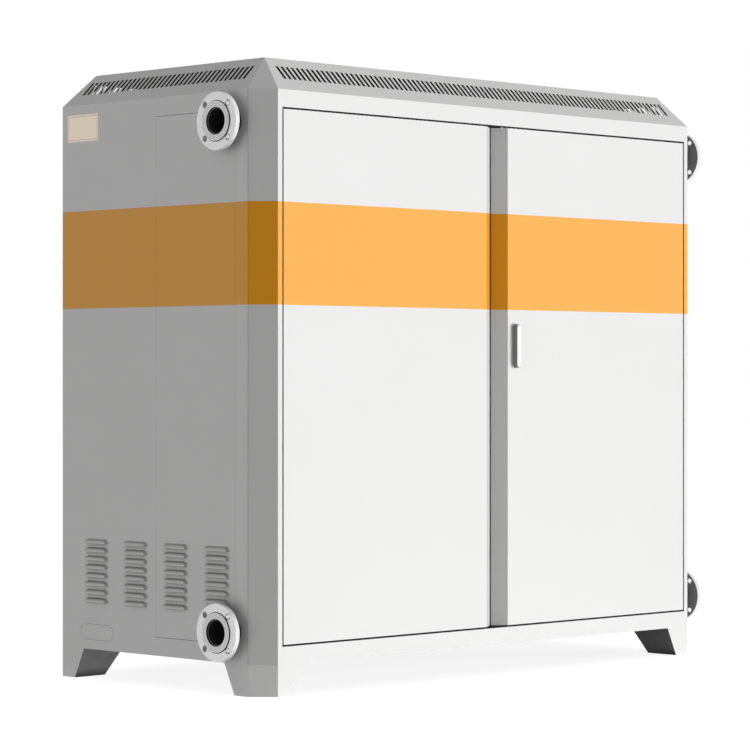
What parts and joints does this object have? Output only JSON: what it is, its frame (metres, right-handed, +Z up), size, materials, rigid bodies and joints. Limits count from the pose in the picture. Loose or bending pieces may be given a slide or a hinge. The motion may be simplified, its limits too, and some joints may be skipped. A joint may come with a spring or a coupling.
{
  "type": "industrial boiler",
  "caption": "Hollow sheet-metal boiler cabinet on tapered box feet, with flush double doors meeting in a V groove, pressed side louvres, flanged pipe stubs and a slotted hip roof.",
  "frame": {"origin": "centre of the bounding box on the floor", "axes": "+Z up, -Y out of the doors, +X to the right of a person facing the doors"},
  "size_m": [2.442, 1.131, 2.138],
  "materials": {
    "white_paint": "satin white powder coat with an orange band painted round the cabinet",
    "header_steel": "plain steel pipe",
    "flange_steel": "machined light grey steel",
    "pivot_steel": "plain steel",
    "handle_metal": "bright metal",
    "nameplate_metal": "plain beige anodised plate"
  },
  "bodies": {
    "cabinet": {"base_plate": "white_paint", "foot_front_left": "white_paint", "foot_front_right": "white_paint", "foot_rear_left": "white_paint", "foot_rear_right": "white_paint", "post_front_left": "white_paint", "post_front_right": "white_paint", "post_rear_left": "white_paint", "post_rear_right": "white_paint", "front_top_rail": "white_paint", "front_bottom_rail": "white_paint", "side_bottom_rail_left": "white_paint", "side_bottom_rail_right": "white_paint", "side_top_rail_left": "white_paint", "side_top_rail_right": "white_paint", "service_panel_left": "white_paint", "service_panel_right": "white_paint", "side_wall_left": "white_paint", "side_wall_right": "white_paint", "cable_knockout": "white_paint", "rear_panel": "white_paint", "roof_slope_front": "white_paint", "roof_slope_rear": "white_paint", "roof_slope_left": "white_paint", "roof_slope_right": "white_paint", "roof_corner_facets": "white_paint", "roof_top": "white_paint", "lower_header": "header_steel", "upper_header": "header_steel", "flanges_left": "flange_steel", "flanges_right": "flange_steel", "door_pivots_left": "pivot_steel", "door_pivots_right": "pivot_steel", "nameplate": "nameplate_metal"},
    "left_door": {"left_door": "white_paint"},
    "right_door": {"right_door": "white_paint", "right_door_handle": "handle_metal"}
  },
  "joints": [
    {"name": "left_door_hinge", "type": "hinge", "parent": "cabinet", "child": "left_door", "pos_m": [-1.0285, -0.5405, 0.171], "axis": [0, 0, -1], "range_deg": [0, 110]},
    {"name": "right_door_hinge", "type": "hinge", "parent": "cabinet", "child": "right_door", "pos_m": [1.0285, -0.5405, 0.171], "axis": [0, 0, 1], "range_deg": [0, 110]}
  ]
}
